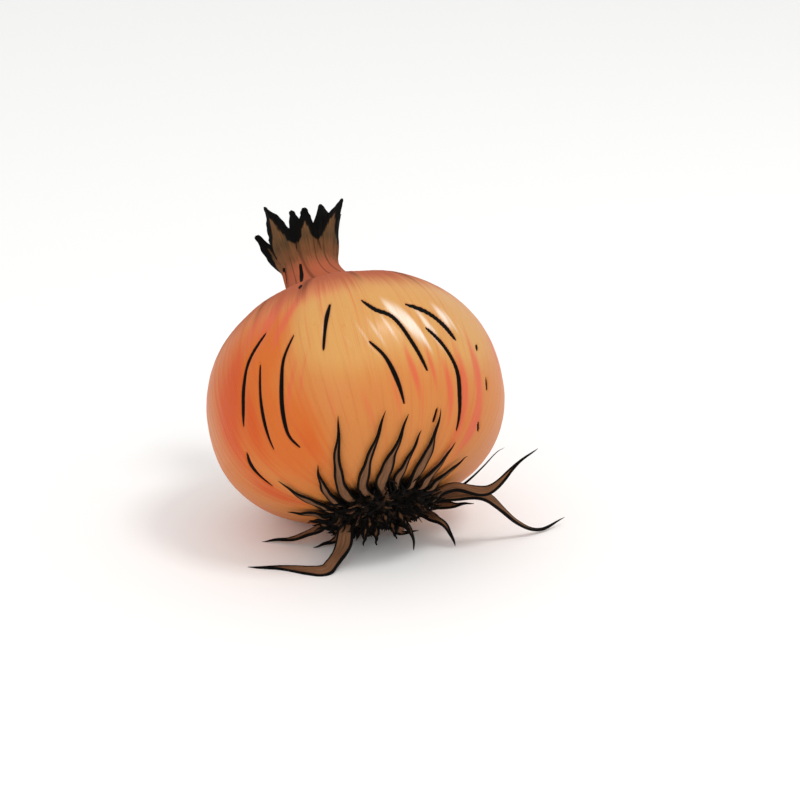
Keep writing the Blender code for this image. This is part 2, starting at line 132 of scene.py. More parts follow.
# A brushed stroke of colour along the skin: its middle, how far it fades out round the bulb (degrees)
# and along it (millimetres), how many degrees round it leans for each millimetre up, and its strength.
Stroke = namedtuple("Stroke", "longitude height wide tall lean strength")
STROKES = {
    "gold": (
        (-84, 6, 34, 13, 0.0, 1.0),
        (-112, 7, 14, 13, 0.0, 0.6),
        (-52, 4, 16, 12, 0.0, 0.7),
        (55, 8, 40, 13, 0.0, 0.9),
        (125, 2, 18, 14, 0.0, 0.6),
    ),
    "orange": (
        (-158, 0, 20, 22, 0.3, 1.0),
        (-137, -16, 14, 10, 0.0, 0.9),
        (-136, 6, 8, 10, 0.6, 0.5),
        (-52, -20, 14, 8, 0.0, 0.5),
        (10, -6, 26, 20, 0.2, 0.9),
        (98, -8, 22, 18, -0.2, 0.9),
        (150, -4, 18, 20, -0.2, 0.8),
    ),
    "ember": (
        (-165, -5, 8, 12, 0.4, 1.0),
        (-154, 4, 6, 9, 0.7, 0.7),
        (-152, -9, 4, 9, 0.5, 0.7),
        (-176, -23, 7, 5, 0.0, 0.8),
        (-133, -19, 5, 5, 0.0, 0.5),
        (-185, 8, 12, 10, 0.5, 0.5),
        (20, -8, 12, 14, 0.4, 0.8),
        (92, -4, 9, 14, -0.3, 0.8),
        (146, -10, 8, 12, -0.4, 0.7),
    ),
    "rose": (
        (-84, -9, 1.6, 7, -0.3, 0.9),
        (-76, -8, 1.3, 6, -0.3, 0.8),
        (-68, -13, 1.8, 8, -0.4, 0.8),
        (-60, -13, 2.6, 11, -0.3, 1.0),
        (-51, -10, 3.0, 12, -0.3, 1.0),
        (-48, -20, 5.0, 4, 0.0, 0.7),
        (-131, -6, 1.3, 7, 0.8, 0.6),
        (-125, -4, 1.1, 7, 0.7, 0.5),
        (-128, 12, 2.5, 7, 1.0, 0.8),
        (-135, 15, 4.0, 8, 0.8, 1.0),
        (-144, 14, 3.0, 8, 0.8, 0.7),
        (-112, 19, 14.0, 5, 0.0, 0.5),
        (-104, -16, 2.0, 6, -0.2, 0.5),
        (-92, -14, 1.6, 6, -0.3, 0.5),
        (-118, -14, 1.6, 7, 0.2, 0.4),
        (-30, 2, 3.0, 11, -0.2, 0.6),
        (6, 6, 2.5, 10, 0.2, 0.7),
        (42, -6, 2.0, 9, 0.1, 0.7),
        (74, 12, 3.0, 8, -0.3, 0.6),
        (112, -2, 1.8, 11, -0.2, 0.7),
        (136, 8, 3.0, 9, -0.4, 0.6),
    ),
    # painted highlight: pale gloss streaks painted on the front, right of its middle, where the key light's
    # gloss falls
    "painted_highlight": (
        (-82, 4, 2.6, 6, -0.6, 1.0),
        (-87, 7.5, 1.5, 4, -0.5, 0.8),
        (-90, 3, 0.9, 5, -0.5, 0.7),
        (-95, 2, 1.0, 5, -0.5, 0.6),
        (-100, 2, 0.8, 5, -0.5, 0.5),
        (-106, 1, 0.7, 4, -0.5, 0.35),
        (-77.5, 0, 0.8, 5, -0.6, 0.7),
        (-74, 3, 1.4, 6, -0.6, 0.9),
        (-70, -1, 0.7, 4, -0.6, 0.6),
        (-65, 6, 2.2, 4, -0.6, 0.9),
        (-61, 4.5, 0.9, 4, -0.6, 0.6),
        (-57, 3, 0.7, 4, -0.6, 0.45),
    ),
}

# Dry leaf ends, as in the CAD: foot on the neck, length, lean and outline. roll turns the blade on
# its midrib.
Leaf = namedtuple("Leaf", "name longitude spread drop length flare turn fullness roll")
LEAVES = (
    Leaf("neck_leaf_front", -103.0, 36.0, 0.0, 6.9, 1.0, 5.0, 1.4, 0.0),
    Leaf("neck_leaf_front_left", -160.0, 72.0, 0.0, 11.4, 1.9, 0.0, 1.2, 0.0),
    Leaf("neck_leaf_low_left", 165.0, 40.0, 5.0, 11.4, 4.1, 0.0, 1.2, -60.0),
    Leaf("neck_leaf_back_left", 130.0, 62.0, 0.0, 8.4, 1.4, 0.0, 3.0, 0.0),
    Leaf("neck_leaf_back", 86.0, 26.0, 0.0, 16.2, 1.0, -5.5, 5.0, 0.0),
    Leaf("neck_leaf_back_middle", 61.0, 24.0, 0.0, 15.7, 0.8, 0.0, 5.0, 0.0),
    Leaf("neck_leaf_back_right", 30.0, 38.0, 0.0, 15.2, 1.4, 5.0, 5.0, 0.0),
    Leaf("neck_leaf_right", -9.0, 32.0, 0.0, 8.0, 2.4, 0.0, 1.6, 0.0),
    Leaf("neck_leaf_front_right", -54.0, 56.0, 0.0, 9.4, 4.4, 13.0, 1.1, 0.0),
)
LEAF_BEND = 1.4
LEAF_TIP = 1.7
LEAF_THICKNESS = 0.55
LEAF_TUCK = 7.0  # how far a leaf end can be followed down the neck before it melts into the skin
LEAF_PROUD = 0.45
LEAF_SINK = 0.75
LEAF_OVERLAP = 1.1  # how much wider a blade is at its foot than in the CAD
LEAF_SHADE_EDGE = 1.0  # width of the margin painted near black as shade, and its growth with the width of the foot
LEAF_SHADE_EDGE_GROWTH = 0.16
LEAF_GRAIN = 90.0  # where the grain of the blades starts, past the skin's
ROOT_GRAIN = 40.0

# Roots, as in the CAD. Those that cling to the bulb: place on the plate's rim, longitude and
# distance from the axis of the tip, how far the tip stands off, radius at the foot.
Clinging = namedtuple("Clinging", "longitude tip_longitude tip_radius lift thickness")
CLINGING_ROOTS = (
    Clinging(174.0, 167.0, 23.0, 0.0, 1.00),
    Clinging(-166.0, -160.0, 28.6, 0.5, 1.00),
    Clinging(-150.0, -135.0, 27.5, 0.5, 1.00),
    Clinging(-136.0, -116.0, 34.3, 0.3, 1.15),
    Clinging(-119.0, -97.5, 33.6, 0.3, 1.05),
    Clinging(-103.0, -88.0, 32.6, 0.0, 1.20),
    Clinging(-89.0, -81.0, 29.6, 0.3, 0.90),
    Clinging(-74.0, -73.0, 33.2, 0.3, 1.15),
    Clinging(-58.0, -58.0, 27.4, 0.5, 1.00),
    Clinging(-43.0, -40.0, 25.2, 0.8, 1.00),
    Clinging(46.0, 2.0, 34.0, 2.6, 0.80),
)
# Those that leave the bulb: where they stand, radius at the foot, and the points they pass,
# right and back from their foot and up from the floor.
Trailing = namedtuple("Trailing", "name place longitude thickness points")
TRAILING_ROOTS = (
    Trailing(
        "root_right_high", "rim", -22.0, 1.30,
        ((6, 1.5, 17), (14, 1.5, 16), (20, 3.5, 21), (26.5, 5.5, 26)),
    ),
    Trailing(
        "root_right_low", "rim", -5.0, 1.30,
        ((6, 0.5, 14), (14, 1.5, 13), (22, 5, 4.5), (28, 9, 1), (35, 14, 2)),
    ),
    Trailing("root_right_short", "rim", 12.0, 1.00, ((5, 0.5, 10), (12, -2.5, 12))),
    Trailing("root_right_front", "rim", 31.0, 1.25, ((6, -4.3, 6.6), (8.7, -5.3, 3.7), (9.6, -5.8, 0.4))),
    Trailing("root_front_right", "face", 52.0, 1.20, ((1, -5, 7.6), (3.2, -6.3, 6.2), (4.2, -6.2, 0.8))),
    Trailing("root_under_right", "rim", 68.0, 0.90, ((4, 1.5, 0), (8, 3.5, 0))),
    Trailing("root_under_left", "rim", 98.0, 0.90, ((1.5, 2.5, 0), (-2.5, 4.5, 0))),
    Trailing("root_left_short", "rim", 128.0, 0.90, ((-1, -0.5, 2), (-7, -1.5, 0))),
    Trailing("root_left_low", "rim", 152.0, 1.15, ((-2, 2.5, 6), (-9, 4.5, 2), (-18, 6.5, 0))),
    Trailing(
        "root_front_long", "face", 165.0, 1.70,
        (
            (-0.7, -3.5, 4.3), (-3.3, -8, 1.5), (-5.6, -10.2, 0),
            (-8.6, -9.6, 0), (-13.5, -8, 0), (-24.3, -6, 0),
        ),
    ),
)
TUFT_ROOTS = 7
TUFT_LENGTH = 4.4
TUFT_THICKNESS = 1.0
TUFT_SHRUNK = 0.7  # the tuft roots are shrunk to this share of their thickness in the CAD
ROOT_TIP = 0.3
ROOT_TAPER = 0.75
ROOT_LEAD = 1.8
ROOT_AROUND = 16
RIBBON_WIDTH = 1.3  # half width of a shrivelled root, as a share of the CAD root's radius
RIBBON_DEPTH = 0.6
RIBBON_GROOVE = 0.3
ROUTE_STEPS = 16
ROUTE_ROWS = 80

MAT_ROOTLETS = 330
MAT_LENGTH = (1.6, 3.7)
MAT_THICKNESS = (0.28, 0.62)
MAT_WAVES = 7.0
CRUSHED_LONGITUDE = np.radians(62.0)  # the rootlets that the bulb lies on are shorter
CRUSHED_WIDTH = np.radians(50.0)
CRUSHED_SHARE = 0.55

COLOURS = {
    "gold": "#D09854",
    "amber": "#CB7F40",
    "orange": "#CC6826",
    "ember": "#CB4E16",
    "rose": "#D2603E",
    # painted highlight: the near white of the gloss streaks on the front of the skin
    "painted_highlight": "#FFF3E4",
    "vein": "#B4531F",
    "neck_red": "#AE5C3E",
    "neck_tan": "#7C5133",
    "neck_olive": "#4E3C26",
    "stain": "#94602F",
    # painted shade: a near black for the creases, the neck's hollow and fold valleys, the skin by the root
    # plate, the blades' inner sides and margins and the roots' edges; the roots' far ends also darken to it
    "painted_shade_black": "#040302",
    "leaf_brown": "#5C4028",
    "leaf_pale": "#7A5736",
    "root_brown": "#664630",
    "root_pale": "#80593E",
    "plate_dark": "#0B0806",
    "plate_brown": "#2A1C12",
    "floor": "#FCFCFB",
}


# --- shapes in the bulb's frame ---


def soft_step(low, high, value):
    """0 at low, 1 at high, with an even S between them. low may be the larger one."""
    share = np.clip((value - low) / (high - low), 0.0, 1.0)
    return share * share * (3.0 - 2.0 * share)


def unit(vectors):
    return vectors / np.linalg.norm(vectors, axis=-1, keepdims=True)


def round_axis(radius, angle, along):
    """(x, y, z) of places at this distance and angle round the z axis, and this far along it."""
    return np.stack(np.broadcast_arrays(radius * np.cos(angle), radius * np.sin(angle), along), axis=-1)


def superellipse(radius, rise, fullness):
    """rise times (1 - (radius / bulb radius)^fullness)^(1 / fullness)."""
    share = np.clip(radius / BULB_RADIUS, 0.0, 1.0)
    return rise * (1.0 - share**fullness) ** (1.0 / fullness)


def base_height(radius):
    return -superellipse(radius, BASE_DEPTH, BASE_FULLNESS)


SHOULDER_HEIGHT = superellipse(SHOULDER_RADIUS, TOP_HEIGHT, TOP_FULLNESS)
PLATE_TOP = base_height(PLATE_RADIUS) - CLEARANCE


def lobed(radius, longitude):
    """The radius times 1 + a few long cosine waves round the bulb, which fade towards its axis."""
    swell = sum(share * np.cos(waves * longitude + np.radians(phase)) for waves, share, phase in LOBES)
    return radius * (1.0 + swell * np.minimum(radius / BULB_RADIUS, 1.0))


def neck_shift(height):
    """Sideways offset of the neck: none up to the shoulder, all of it from the waist up, eased out."""
    share = np.clip((height - SHOULDER_HEIGHT) / (WAIST_HEIGHT - SHOULDER_HEIGHT), 0.0, 1.0)
    offset = NECK_OFFSET * share * (2.0 - share)
    aside = np.radians(NECK_OFFSET_LONGITUDE)
    return offset * np.cos(aside), offset * np.sin(aside)


def neck_radius(height):
    return NECK_RADIUS + RIM_FLARE * (height - WAIST_HEIGHT) / (RIM_HEIGHT - WAIST_HEIGHT)


def round_points(radius, height, longitude):
    """Points at these distances from the middle of the bulb, or of the neck above the shoulder."""
    aside, behind = neck_shift(height)
    return round_axis(radius, longitude, height) + np.stack([aside, behind, 0.0 * aside], axis=-1)


def bulb_points(radius, height, longitude):
    return round_points(lobed(radius, longitude), height, longitude)


def lying_turn():
    """The bulb's axes in the world: leaned back by TILT about X, then turned by HEADING about Z."""
    c, s = np.cos(-TILT), np.sin(-TILT)
    lean = np.array([[1.0, 0.0, 0.0], [0.0, c, -s], [0.0, s, c]])
    c, s = np.cos(HEADING), np.sin(HEADING)
    return np.array([[c, -s, 0.0], [s, c, 0.0], [0.0, 0.0, 1.0]]) @ lean


def lying_place():
    """Where the middle of the bulb comes to be, so that its lowest point is FLAT_DEPTH below the floor."""
    steps = 120
    radius, side = np.meshgrid(
        BULB_RADIUS * (0.4 + 0.6 * np.arange(steps) / steps), np.pi * np.arange(steps) / steps, indexing="ij"
    )
    points = bulb_points(radius, base_height(radius), side).reshape(-1, 3) @ LYING_TURN.T
    return np.array([0.0, 0.0, -FLAT_DEPTH]) - points[points[:, 2].argmin()]


LYING_TURN = lying_turn()
LYING_PLACE = lying_place()


def lay_down(points):
    """Points of the bulb's frame, in the world, still in millimetres."""
    return points @ LYING_TURN.T + LYING_PLACE


def lengths(outline):
    """How far each point of a line of points is from its start, measured along the line."""
    steps = np.linalg.norm(np.diff(outline, axis=0), axis=1)
    return np.concatenate([[0.0], np.cumsum(steps)])


def evenly(outline, count):
    """count points at equal distances along a line of points, its ends included."""
    along = lengths(outline)
    places = np.linspace(0.0, along[-1], count)
    return np.stack([np.interp(places, along, column) for column in outline.T], axis=-1)


def bezier(ends, share):
    t = share[:, None]
    s = 1.0 - t
    return s**3 * ends[0] + 3 * s * s * t * ends[1] + 3 * s * t * t * ends[2] + t**3 * ends[3]


def quarter_outline(rise, fullness, start, end):
    """(radius, height) of a superellipse: radius times cos^(2 / fullness), rise times sin^(2 / fullness)."""
    angle = np.linspace(start, end, 400)
    power = 2.0 / fullness
    return np.stack([BULB_RADIUS * np.cos(angle) ** power, rise * np.sin(angle) ** power], axis=-1)


def skin_outline():
    """(radius, height) from the middle of the root plate's seat to the middle of the neck's hollow."""
    seat = np.array([(0.0, base_height(PLATE_RADIUS)), (PLATE_RADIUS, base_height(PLATE_RADIUS))])
    start = np.arccos((PLATE_RADIUS / BULB_RADIUS) ** (BASE_FULLNESS / 2.0))
    base = quarter_outline(-BASE_DEPTH, BASE_FULLNESS, start, 0.0)
    end = np.arccos((SHOULDER_RADIUS / BULB_RADIUS) ** (TOP_FULLNESS / 2.0))
    top = quarter_outline(TOP_HEIGHT, TOP_FULLNESS, 0.0, end)
    step = 0.05
    slope = (SHOULDER_HEIGHT - superellipse(SHOULDER_RADIUS + step, TOP_HEIGHT, TOP_FULLNESS)) / step
    run = 0.6 * (SHOULDER_RADIUS - NECK_RADIUS)
    middle = 0.5 * (SHOULDER_HEIGHT + WAIST_HEIGHT)
    ends = np.array(
        [
            (SHOULDER_RADIUS, SHOULDER_HEIGHT),
            (SHOULDER_RADIUS - run, SHOULDER_HEIGHT + run * slope),
            (NECK_RADIUS, middle),
            (NECK_RADIUS, WAIST_HEIGHT),
        ]
    )
    sweep = bezier(ends, np.linspace(0.0, 1.0, 200))
    lip = 0.5 * RIM_WALL
    flare = np.array([(NECK_RADIUS, WAIST_HEIGHT), (neck_radius(RIM_HEIGHT - lip), RIM_HEIGHT - lip)])
    angle = np.linspace(0.0, np.pi, 60)
    edge = np.stack([RIM_RADIUS - lip + lip * np.cos(angle), RIM_HEIGHT - lip + lip * np.sin(angle)], axis=-1)
    inside = RIM_RADIUS - RIM_WALL
    depth = np.linspace(0.0, 1.0, 40)
    sunk = RIM_HEIGHT - lip - DISH_DEPTH * np.sin(0.5 * np.pi * depth)
    dish = np.stack([inside * (1.0 - depth), sunk], axis=-1)
    stretches = (
        (seat, SEAT_ROWS),
        (base, BASE_ROWS),
        (top, TOP_ROWS),
        (sweep, SWEEP_ROWS),
        (flare, FLARE_ROWS),
        (edge, LIP_ROWS),
        (dish, DISH_ROWS),
    )
    return np.concatenate([evenly(stretch, rows + 1)[1:] for stretch, rows in stretches])[:-1]


def wander(longitude, along, waves, seed):
    """A random wave round the bulb that shifts on its way up: the mean of cosines of whole numbers of
    turns, each with its own phase and its own drift with along."""
    random = np.random.default_rng(seed)
    phases = random.uniform(0.0, TURN, len(waves))
    drifts = random.normal(0.0, 0.06, len(waves))
    total = 0.0
    for count, phase, drift in zip(waves, phases, drifts):
        total = total + np.cos(count * longitude + phase + drift * along)
    return total / len(waves)


def pleats(longitude, along, count, seed):
    """Round ridges with sharp valleys, count of them in a turn: |sin(half count times longitude)|,
    whose phase wanders so that no two ridges are alike. 0 in a valley, 1 on a ridge."""
    swing = PLEAT_WAVER * wander(longitude, along, (2, 3, 5, 7), seed)
    return np.abs(np.sin(0.5 * count * longitude + swing))


def neck_pleats(longitude, height):
    """The folds of the withered neck, which its leaf ends carry on."""
    broad = pleats(longitude, height, NECK_PLEATS, 3)
    fine = pleats(longitude, height, 3 * NECK_PLEATS + 2, 4)
    return PLEAT_DEPTH * (broad + FINE_PLEATS * fine - PLEAT_MEAN)


def smooth_line(points, steps):
    """A Catmull-Rom curve through the points, with this many steps between two of them."""
    knots = np.concatenate([[2.0 * points[0] - points[1]], points, [2.0 * points[-1] - points[-2]]])
    t = (np.arange(steps) / steps)[:, None]
    spans = []
    for a, b, c, d in zip(knots, knots[1:], knots[2:], knots[3:]):
        bend = 2.0 * b + (c - a) * t + (2.0 * a - 5.0 * b + 4.0 * c - d) * t**2
        spans.append(0.5 * (bend + (3.0 * b - a - 3.0 * c + d) * t**3))
    return np.concatenate([*spans, points[-1:]])


def skin_line(longitudes, heights):
    """Points on the skin at these longitudes, in degrees, and heights, by reading the outline's radius."""
    outline = skin_outline()[SEAT_ROWS:-DISH_ROWS]
    radius = np.interp(heights, outline[:, 1], outline[:, 0])
    return bulb_points(radius, heights, np.radians(longitudes))


def back_creases():
    """Creases on the side away from the viewer, placed by a seeded draw."""
    random = np.random.default_rng(11)
    creases = []
    for number in range(BACK_CREASES):
        longitude = BACK_START + BACK_SWEEP * (number + random.uniform(0.1, 0.9)) / BACK_CREASES
        middle = random.uniform(-12.0, 9.0)
        half = random.uniform(4.0, 9.0)
        lean = random.uniform(-0.5, 0.5)
        points = [(longitude + lean * up + 0.03 * up * up, middle + up) for up in (half, 0.0, -half)]
        creases.append(Crease(random.uniform(0.9, 1.6), tuple(points)))
    return creases


def crease_fields(points):
    """How far each point of the skin is to one side of the nearest crease's middle, and half that
    crease's width there, in millimetres. A crease is a curve on the skin, and it tapers at both ends.
    Away from every crease the half width is far below zero."""
    reach = 1.8
    no_crease = -10.0
    end_slack = 0.3
    across = np.full(points.shape[:-1], reach)
    half = np.full(points.shape[:-1], no_crease)
    nearest = np.full(points.shape[:-1], reach)
    for number, crease in enumerate([*CREASES, *back_creases()]):
        line = smooth_line(np.array(crease.points, float), CREASE_STEPS)
        middle = skin_line(line[:, 0], line[:, 1])
        along = unit(np.gradient(middle, axis=0))
        aside = unit(np.cross(along, middle))
        share = np.linspace(0.0, 1.0, len(line))
        width = crease.width * np.sin(np.pi * share) ** 0.3 * (0.86 + 0.1 * np.cos(9.0 * share + number))
        low, high = middle.min(axis=0) - reach, middle.max(axis=0) + reach
        near = np.nonzero(np.all((points > low) & (points < high), axis=-1))
        away = points[near][:, None] - middle
        distance = np.linalg.norm(away, axis=-1)
        best = distance.argmin(axis=1)
        rows = np.arange(len(best))
        offset = away[rows, best]
        past_end = np.abs(np.einsum("ij,ij->i", offset, along[best])) > end_slack
        closer = (distance[rows, best] < nearest[near]) & ~past_end
        near = tuple(places[closer] for places in near)
        nearest[near] = distance[rows, best][closer]
        across[near] = np.einsum("ij,ij->i", offset, aside[best])[closer]
        half[near] = 0.5 * width[best][closer]
    return across, half


def brushed(strokes, longitude, height):
    """The sum of soft strokes: each fades as a bell curve round the bulb and along it."""
    total = 0.0
    for stroke in map(Stroke._make, strokes):
        middle = stroke.longitude + stroke.lean * (height - stroke.height)
        off = (np.degrees(longitude) - middle + 180.0) % 360.0 - 180.0
        total = total + stroke.strength * np.exp(
            -((off / stroke.wide) ** 2) - ((height - stroke.height) / stroke.tall) ** 2
        )
    return np.clip(total, 0.0, 1.0)


# --- meshes ---


def loft_mesh(name, rings, fields):
    """A closed skin through rings of points, or several of them, as (pieces, rings, points, 3) in
    millimetres. Four-sided faces join ring to ring, and a fan to its middle closes each end. fields
    holds a number or a vector for each point of each ring."""
    pieces, rows, around = rings.shape[:3]
    corner = np.arange(pieces * rows * around).reshape(pieces, rows, around)
    aside = np.roll(corner, -1, axis=2)
    quads = np.stack([corner[:, :-1], aside[:, :-1], aside[:, 1:], corner[:, 1:]], axis=-1).reshape(-1, 4)
    first = corner.size + np.arange(pieces)[:, None] + np.zeros((1, around), int)
    last = first + pieces
    first_fan = np.stack([first, aside[:, 0], corner[:, 0]], axis=-1)
    last_fan = np.stack([last, corner[:, -1], aside[:, -1]], axis=-1)
    fans = np.stack([first_fan, last_fan]).reshape(-1, 3)

    def with_middles(values):
        """The values, then their means over each first ring and over each last ring."""
        flat = values.reshape(pieces * rows * around, -1)
        middles = [values[:, end].mean(axis=1).reshape(pieces, -1) for end in (0, -1)]
        return np.concatenate([flat, *middles])

    points = with_middles(rings)
    a, b, c, d = (points[quads[:, side]] for side in range(4))
    if np.einsum("ij,ij->", a, np.cross(b, c) + np.cross(c, d)) < 0.0:
        quads = quads[:, ::-1]
        fans = fans[:, ::-1]
    mesh = bpy.data.meshes.new(name)
    mesh.vertices.add(len(points))
    mesh.vertices.foreach_set("co", (points * MM).astype(np.float32).ravel())
    loops = np.concatenate([quads.ravel(), fans.ravel()])
    starts = np.concatenate([4 * np.arange(len(quads)), quads.size + 3 * np.arange(len(fans))])
    mesh.loops.add(len(loops))
    mesh.loops.foreach_set("vertex_index", loops.astype(np.int32))
    mesh.polygons.add(len(starts))
    mesh.polygons.foreach_set("loop_start", starts.astype(np.int32))
    mesh.update(calc_edges=True)
    for field, values in fields.items():
        is_vector = values.ndim == 4
        kept = with_middles(values).astype(np.float32).ravel()
        attribute = mesh.attributes.new(field, "FLOAT_VECTOR" if is_vector else "FLOAT", "POINT")
        attribute.data.foreach_set("vector" if is_vector else "value", kept)
    mesh.shade_smooth()
    return mesh


def loft_one(name, rings, fields):
    """loft_mesh for one piece: rings and fields go without the axis of the pieces, and a field may
    have length 1 along the rings or round them, where it stays the same."""
    spread = {}
    for field, values in fields.items():
        spread[field] = np.broadcast_to(values, rings.shape[:2] + values.shape[2:])[None]
    return loft_mesh(name, rings[None], spread)


def add_piece(name, mesh, material, node_names):
    """The mesh as an object of the onion that stands for these CAD nodes."""
    piece = bpy.data.objects.new(name, mesh)
    bpy.context.scene.collection.objects.link(piece)
    mesh.materials.append(material)
    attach(piece, "root")
    if node_names:
        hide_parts(*node_names)
    return piece


# --- the bulb's skin ---


def make_skin(material):
    """The outline turned round the axis, moved along its normal by pleats, puckers, veins and creases."""
    outline = skin_outline()
    turned = np.linspace(0.0, TURN, SKIN_COLUMNS, endpoint=False)
    radius, longitude = np.meshgrid(outline[:, 0], turned, indexing="ij")
    height = np.repeat(outline[:, 1:], SKIN_COLUMNS, axis=1)
    along = lengths(outline)[:, None]
    tangent = unit(np.gradient(outline, axis=0))
    normal = round_axis(tangent[:, 1:], longitude, -tangent[:, :1])
    points = bulb_points(radius, height, longitude)

    crease_across, crease_half = crease_fields(points)
    # The neck's hollow inside the rim, which the skin's material paints near black as shade.
    hollow = np.zeros_like(radius)
    hollow[-DISH_ROWS - LIP_ROWS // 2 :] = 1.0
    in_neck = soft_step(SHOULDER_HEIGHT - 1.0, WAIST_HEIGHT - 4.0, height) * (1.0 - hollow)
    near_root = soft_step(PLATE_RADIUS + PUCKER_REACH, PLATE_RADIUS + 1.0, radius) * (height < 0.0)
    seat = radius < PLATE_RADIUS - 0.01
    swing = VEIN_WAVER * wander(longitude, along, (3, 4, 7, 11), 7)
    vein = (1.0 - np.abs(np.sin(0.5 * VEINS * longitude + swing))) ** 3
    relief = in_neck * neck_pleats(longitude, height)
    relief += near_root * PUCKER_DEPTH * (pleats(longitude, along, ROOT_PLEATS, 5) - PUCKER_MEAN)
    relief += (1.0 - in_neck) * (1.0 - near_root) * VEIN_HEIGHT * vein
    relief += (1.0 - in_neck) * UNEVENNESS * wander(longitude, along, (4, 6, 9, 13), 8)
    relief -= CREASE_DEPTH * soft_step(CREASE_EDGE, -CREASE_EDGE, np.abs(crease_across) - crease_half)
    relief = np.where(seat | (height > RIM_HEIGHT - 0.5 * RIM_WALL), 0.0, relief)
    laid = lay_down(points + relief[..., None] * normal)
    laid[..., 2] = np.maximum(laid[..., 2], 0.0)

    fields = {
        "grain": round_axis(BULB_RADIUS, longitude, along),
        "crease_across": crease_across,
        "crease_half": crease_half,
        "rise": height,
        "hollow": hollow,
        "near_root": soft_step(PLATE_RADIUS + STAIN_REACH, PLATE_RADIUS + 1.0, radius) * (height < 0.0),
        "fold": pleats(longitude, height, NECK_PLEATS, 3),
        "vein": vein,
    }
    for name, strokes in STROKES.items():
        fields[name] = brushed(strokes, longitude, height)
    mesh = loft_one("onion_skin", laid, fields)
    return add_piece("onion_skin", mesh, material, ["bulb"])


# --- the dry leaf ends ---


def make_leaf(leaf, number, material):
    """A gutter-shaped blade. Its middle climbs from the neck and leans out as rise^LEAF_BEND, its half
    angle shrinks as 1 - rise^fullness down to a round blunt tip, its margins are ragged and curl, and the
    neck's folds run on up it.
    Each ring goes over the blade's outer side and back along its inner side."""
    tuck_rows, rows, across = 10, 44, 17
    random = np.random.default_rng(40 + number)
    foot_height = RIM_HEIGHT - leaf.drop
    tuck = np.linspace(-1.0, 0.0, tuck_rows, endpoint=False)
    rise = np.concatenate([tuck, np.linspace(0.0, 1.0, rows)])[:, None]
    up = np.maximum(rise, 0.0)
    down = np.maximum(-rise, 0.0)
    height = foot_height + leaf.length * up - LEAF_TUCK * down
    bare = np.where(height > WAIST_HEIGHT, neck_radius(np.minimum(height, RIM_HEIGHT)), NECK_RADIUS)
    below = np.interp(height, *sweep_radius_table())
    on_neck = np.where(height < WAIST_HEIGHT, below, bare)
    foot_radius = neck_radius(foot_height)
    proud = LEAF_PROUD - LEAF_SINK * down**2
    middle_radius = np.maximum(foot_radius + leaf.flare * up**LEAF_BEND, on_neck) + proud
    middle_radius = np.where(rise < 0.0, on_neck + proud, middle_radius)
    half = 0.5 * np.radians(leaf.spread) * LEAF_OVERLAP * (1.0 - up**leaf.fullness)
    coarse = 0.10 * np.cos(11.0 * rise + random.uniform(0, TURN))
    ragged = 1.0 + up * (coarse + 0.05 * np.cos(27.0 * rise + number))
    end = np.clip((up - 1.0) * leaf.length / (0.5 * LEAF_TIP) + 1.0, 0.0, 1.0)
    blunt = np.maximum(0.5 * LEAF_TIP * np.sqrt(1.0 - end**2), 0.2)
    half = np.maximum(half * ragged * (1.0 - 0.35 * down), blunt / middle_radius)
    side = np.sin(0.5 * np.pi * np.linspace(-1.0, 1.0, across))
    loop = np.concatenate([side, side[-2:0:-1]])[None]
    inner = np.concatenate([np.zeros(across), np.ones(across - 2)])[None]
    swerve = 2.5 * up * np.sin(5.0 * rise + random.uniform(0, TURN))
    longitude = np.radians(leaf.longitude + leaf.turn * up + swerve) + half * loop
    curl = random.uniform(-0.35, 0.6) * up * loop**2
    thickness = LEAF_THICKNESS * np.sqrt(np.clip(1.0 - loop**2, 0.0, 1.0)) * (1.0 - 0.6 * up**2)
    relief = neck_pleats(longitude, height) * np.where(inner > 0.0, 0.5, 1.0) * (1.0 - 0.5 * up)
    roll = np.radians(leaf.roll) * soft_step(-0.2, 0.5, rise)
    span = middle_radius * half * loop
    longitude = longitude - half * loop * (1.0 - np.cos(roll))
    radius = middle_radius + curl + relief - inner * thickness + span * np.sin(roll)
    points = lay_down(round_points(radius, height, longitude))
    width = middle_radius * half
    # how far in from the blade's edge each point is, in widths of the margin that the material paints near
    # black as shade
    shade_edge = LEAF_SHADE_EDGE + LEAF_SHADE_EDGE_GROWTH * foot_radius * np.radians(leaf.spread)
    margin = np.minimum((1.0 - np.abs(loop)) * width, leaf.length * (1.0 - up) * 0.8) / shade_edge
    fields = {
        "grain": round_axis(BULB_RADIUS, longitude, LEAF_GRAIN + height),
        "margin": margin + 4.0 * down,
        "inner": inner,
        "rise": height,
        "fold": pleats(longitude, height, NECK_PLEATS, 3),
    }
    mesh = loft_one(leaf.name, points, fields)
    return add_piece("dry_" + leaf.name, mesh, material, [leaf.name])


def sweep_radius_table():
    """(heights, radii) of the outline from the shoulder to the neck's waist, for reading off a radius."""
    outline = skin_outline()
    start = SEAT_ROWS + BASE_ROWS + TOP_ROWS - 1
    stretch = outline[start : start + SWEEP_ROWS + 1]
    return stretch[:, 1], stretch[:, 0]


# --- the root plate, its mat of rootlets and the roots ---


def plate_height(radius):
    """The plate's domed face: as a parabola it bulges most in the middle."""
    share = np.minimum(radius / PLATE_RADIUS, 1.0)
    return PLATE_TOP - PLATE_EDGE - PLATE_DOME * (1.0 - share * share)


